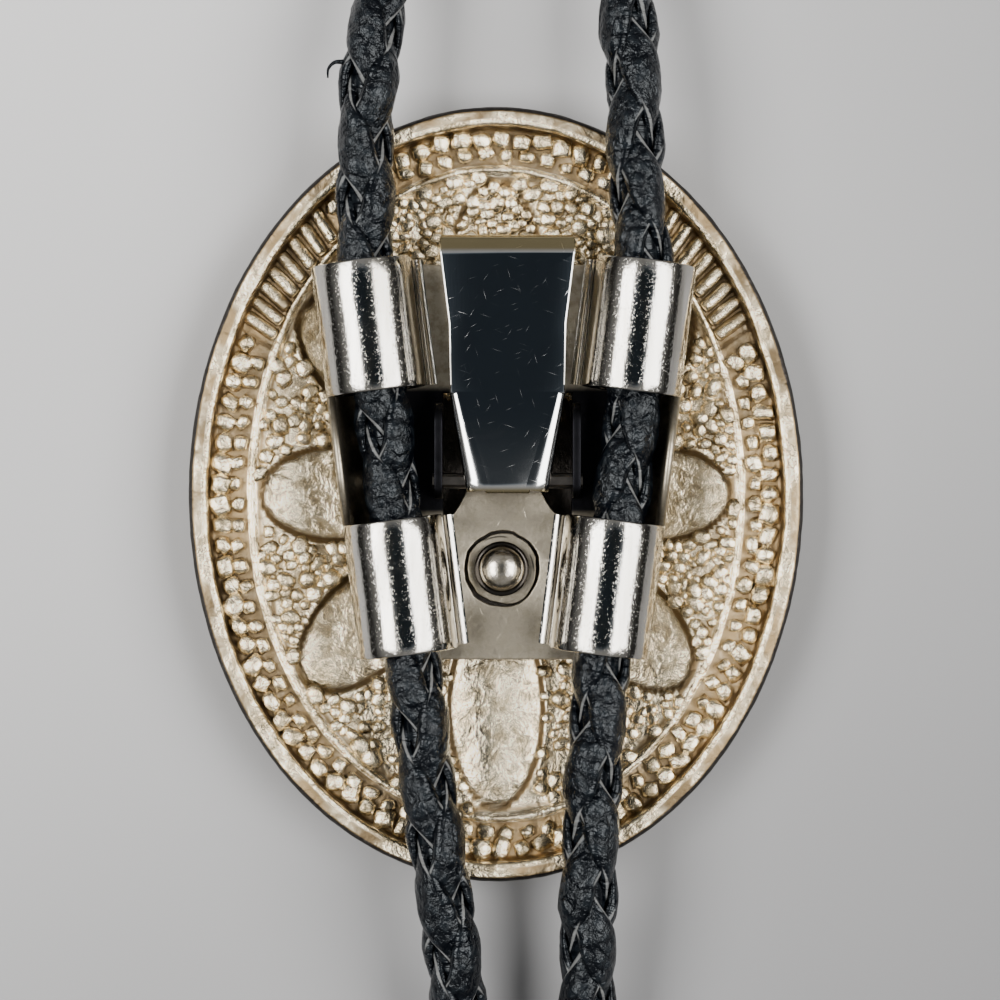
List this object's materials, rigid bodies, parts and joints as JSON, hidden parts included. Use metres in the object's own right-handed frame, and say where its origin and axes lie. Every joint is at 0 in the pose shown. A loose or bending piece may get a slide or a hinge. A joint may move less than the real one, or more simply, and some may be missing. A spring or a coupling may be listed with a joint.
{
  "type": "bolo tie",
  "caption": "Bolo tie: oval cast slide with a locking lever clip on a round braided leather cord, lying face down with its neck loop open.",
  "frame": {"origin": "middle of the flat facet in the middle of the medallion's front, on the surface that the tie lies on", "axes": "+Y is up as worn, from the medallion's middle to the neck loop; +Z is away from the surface, out of the medallion's back; +X is to the right seen from the back"},
  "size_m": [0.1812, 0.4162, 0.0123],
  "materials": {
    "cast_metal": "cast white metal, tarnished in its recesses",
    "pressed_metal": "plated sheet, satin where it is flat",
    "polished_metal": "polished plating with fine scratches",
    "cord_leather": "black braided leather, low sheen"
  },
  "bodies": {
    "slide": {"medallion": "cast_metal", "clip_base": "pressed_metal", "hinge_pin": "pressed_metal", "rivet": "polished_metal", "cord_neck_loop": "cord_leather", "cord_tail_left": "cord_leather", "cord_tail_right": "cord_leather", "tip_left": "polished_metal", "tip_right": "polished_metal"},
    "lever": {"clip_lever": "polished_metal"}
  },
  "joints": [
    {"name": "lever_hinge", "type": "hinge", "parent": "slide", "child": "lever", "pos_m": [0.0009, 0.00102, 0.0081], "axis": [1, 0, 0], "range_deg": [0, 80]}
  ]
}
